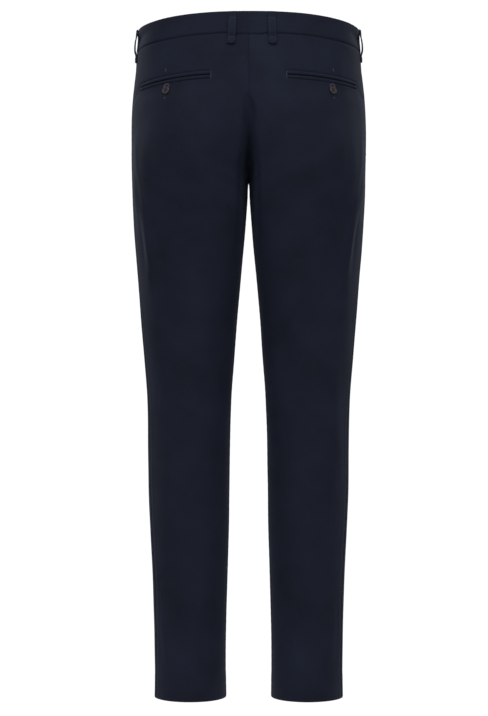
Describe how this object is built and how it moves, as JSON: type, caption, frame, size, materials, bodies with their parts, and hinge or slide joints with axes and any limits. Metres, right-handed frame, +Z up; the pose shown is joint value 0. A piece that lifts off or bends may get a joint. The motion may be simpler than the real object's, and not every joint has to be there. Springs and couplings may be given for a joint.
{
  "type": "chino trousers",
  "caption": "Slim navy cotton twill chino trousers in their worn form, hollow, open at waist and hems, with belt loops, slanted front and buttoned back pockets.",
  "frame": {"origin": "centre of the waistband's ring at half its height, where the wearer holds the garment up", "axes": "+Z up, -Y the way the wearer faces, +X to the wearer's left"},
  "size_m": [0.364, 0.2506, 1.049],
  "materials": {
    "twill": "navy cotton twill, matt, with a faint sheen",
    "zip_tape": "navy woven polyester tape",
    "button": "turned and polished horn-look polyester, dark brown"
  },
  "bodies": {
    "root": {"back_left": "twill", "back_right": "twill", "front_left": "twill", "front_right": "twill", "waistband_left": "twill", "waistband_right": "twill", "front_pocket_facing_left": "twill", "front_pocket_facing_right": "twill", "fly_flap": "twill", "fly_zip": "zip_tape", "back_pocket_upper_welt_left": "twill", "back_pocket_upper_welt_right": "twill", "back_pocket_lower_welt_left": "twill", "back_pocket_lower_welt_right": "twill", "back_pocket_button_left": "button", "back_pocket_button_right": "button", "belt_loop_back_left": "twill", "belt_loop_back_right": "twill", "belt_loop_side_left": "twill", "belt_loop_side_right": "twill", "belt_loop_front_left": "twill", "belt_loop_front_right": "twill", "waist_button": "button"}
  },
  "joints": []
}
